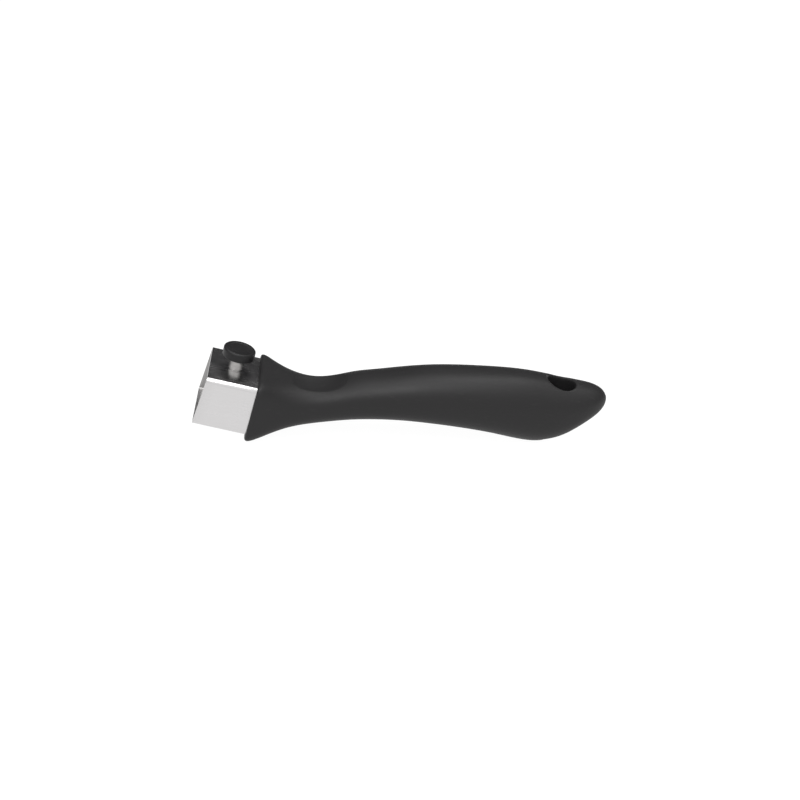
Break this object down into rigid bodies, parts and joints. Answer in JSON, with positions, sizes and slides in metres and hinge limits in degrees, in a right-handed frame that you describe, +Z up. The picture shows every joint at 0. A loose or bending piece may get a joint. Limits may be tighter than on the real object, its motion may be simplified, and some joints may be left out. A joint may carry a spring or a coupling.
{
  "type": "detachable pan handle",
  "caption": "Detachable pan handle: soft-touch grip with a folded steel socket, a spring-loaded locking pin with a pull knob, and a hanging hole.",
  "frame": {"origin": "centre of the bounding box's bottom face, on the surface that the handle lies on", "axes": "+X from the socket's mouth towards the tail, +Y across the grip, +Z up; the socket points up towards its mouth by 12.1 degrees"},
  "size_m": [0.1856, 0.0374, 0.0394],
  "materials": {
    "soft_touch": "soft-touch matte",
    "core_nylon": "matte",
    "stainless_sheet": "fine brushed",
    "pad_nylon": "matte",
    "plain_steel": "plain",
    "zinc_steel": "zinc plated",
    "bright_steel": "turned and polished",
    "spring_steel": "drawn",
    "knob_plastic": "fine matte",
    "brass": "turned",
    "silicone": "matte"
  },
  "bodies": {
    "handle": {"grip_skin": "soft_touch", "grip_core": "core_nylon", "socket_sleeve": "stainless_sheet", "end_plate": "stainless_sheet", "stop_pad": "pad_nylon", "tang": "plain_steel", "tang_rivets": "plain_steel", "collar_gasket": "silicone", "grip_screws": "zinc_steel", "screw_washers": "zinc_steel", "clinch_nuts": "zinc_steel", "swage_washer": "bright_steel", "guide_sleeve": "bright_steel", "plunger_spring": "spring_steel"},
    "plunger": {"locking_pin": "bright_steel", "knob": "knob_plastic", "knob_insert": "brass", "knob_bumper": "silicone"}
  },
  "joints": [
    {"name": "pin_pull", "type": "slide", "parent": "handle", "child": "plunger", "axis": [0.2096, 0, 0.9778], "range_m": [0, 0.0045], "stiffness_N_per_m": 350, "springref_m": -0.006, "deforming": ["plunger_spring"]}
  ]
}
